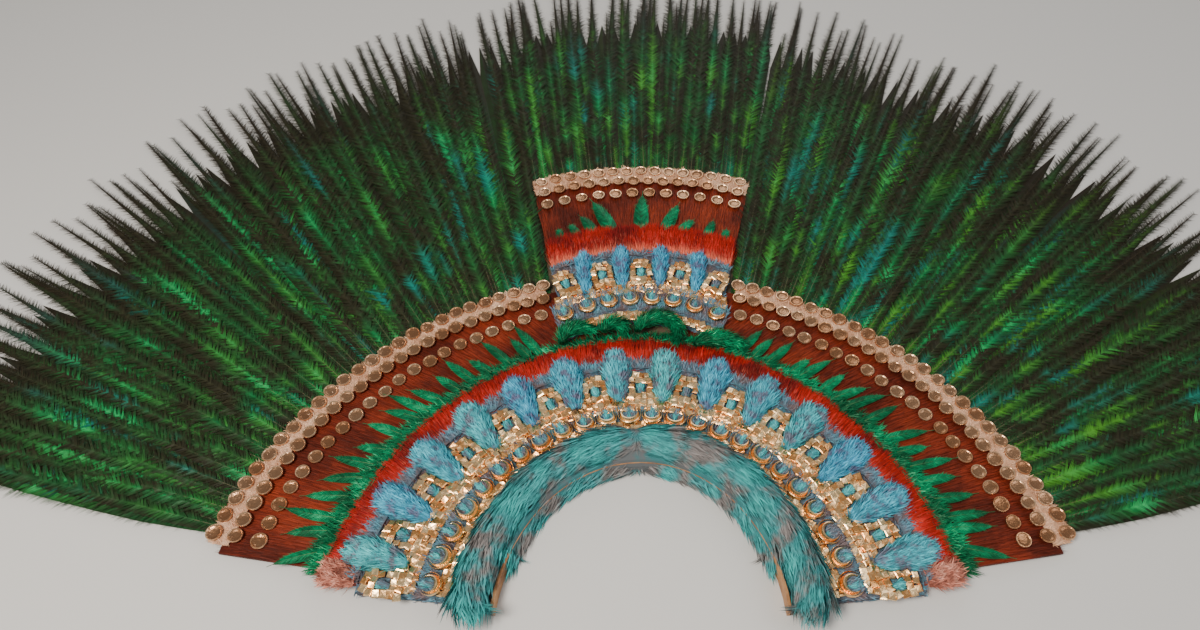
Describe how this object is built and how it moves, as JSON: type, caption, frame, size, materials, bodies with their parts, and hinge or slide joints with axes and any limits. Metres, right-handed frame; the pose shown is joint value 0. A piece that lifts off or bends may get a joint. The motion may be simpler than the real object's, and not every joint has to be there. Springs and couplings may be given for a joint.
{
  "type": "feathered headdress",
  "caption": "Large fan-shaped feather headdress lying on its back: long green plumes round a half-ring collar of feather bands, gold discs and crescents, with a crest panel.",
  "frame": {"origin": "centre of the bounding box at its underside, on the surface that the headdress lies on", "axes": "+X along the fan's span, to the right seen from the front; +Y from the head arch to the crest's tip; +Z out of the front face"},
  "size_m": [1.7544, 1.1546, 0.0408],
  "materials": {
    "plume": "long iridescent dark green feathers",
    "brown_feather": "flat red-brown feathers",
    "green_feather": "iridescent emerald feathers",
    "red_feather": "soft scarlet feathers",
    "blue_feather": "soft turquoise feathers",
    "roll_feather": "soft turquoise and grey feathers",
    "gold": "thin beaten gold, polished",
    "gold_discs": "thin copper-coloured gold on a pale feather strip",
    "leather": "plain tan leather",
    "cloth": "knotted fibre net and cloth"
  },
  "bodies": {
    "root": {"backing_cloth": "cloth", "blue_tufts": "blue_feather", "brown_band_left": "brown_feather", "brown_band_right": "brown_feather", "crescent_01": "gold", "crescent_02": "gold", "crescent_03": "gold", "crescent_04": "gold", "crescent_05": "gold", "crescent_06": "gold", "crescent_07": "gold", "crescent_08": "gold", "crescent_09": "gold", "crescent_10": "gold", "crescent_11": "gold", "crescent_12": "gold", "crescent_13": "gold", "crescent_14": "gold", "crescent_15": "gold", "crescent_16": "gold", "crescent_17": "gold", "crescent_18": "gold", "crescent_19": "gold", "crescent_20": "gold", "crescent_21": "gold", "crescent_22": "gold", "crescent_23": "gold", "crescent_24": "gold", "crest_blue_tufts": "blue_feather", "crest_brown_band": "brown_feather", "crest_crescent_1": "gold", "crest_crescent_2": "gold", "crest_crescent_3": "gold", "crest_crescent_4": "gold", "crest_crescent_5": "gold", "crest_crescent_6": "gold", "crest_crescent_7": "gold", "crest_crescent_8": "gold", "crest_disc_border": "gold_discs", "crest_gold_bed": "gold", "crest_green_blades": "green_feather", "crest_plume_fan": "plume", "crest_red_fringe": "red_feather", "disc_border_left": "gold_discs", "disc_border_right": "gold_discs", "gold_bed": "gold", "green_collar": "green_feather", "green_curl_1": "green_feather", "green_curl_2": "green_feather", "green_curl_3": "green_feather", "green_curl_4": "green_feather", "head_band": "leather", "plume_fan_left": "plume", "plume_fan_right": "plume", "red_collar": "red_feather", "rim_roll": "roll_feather"}
  },
  "joints": []
}
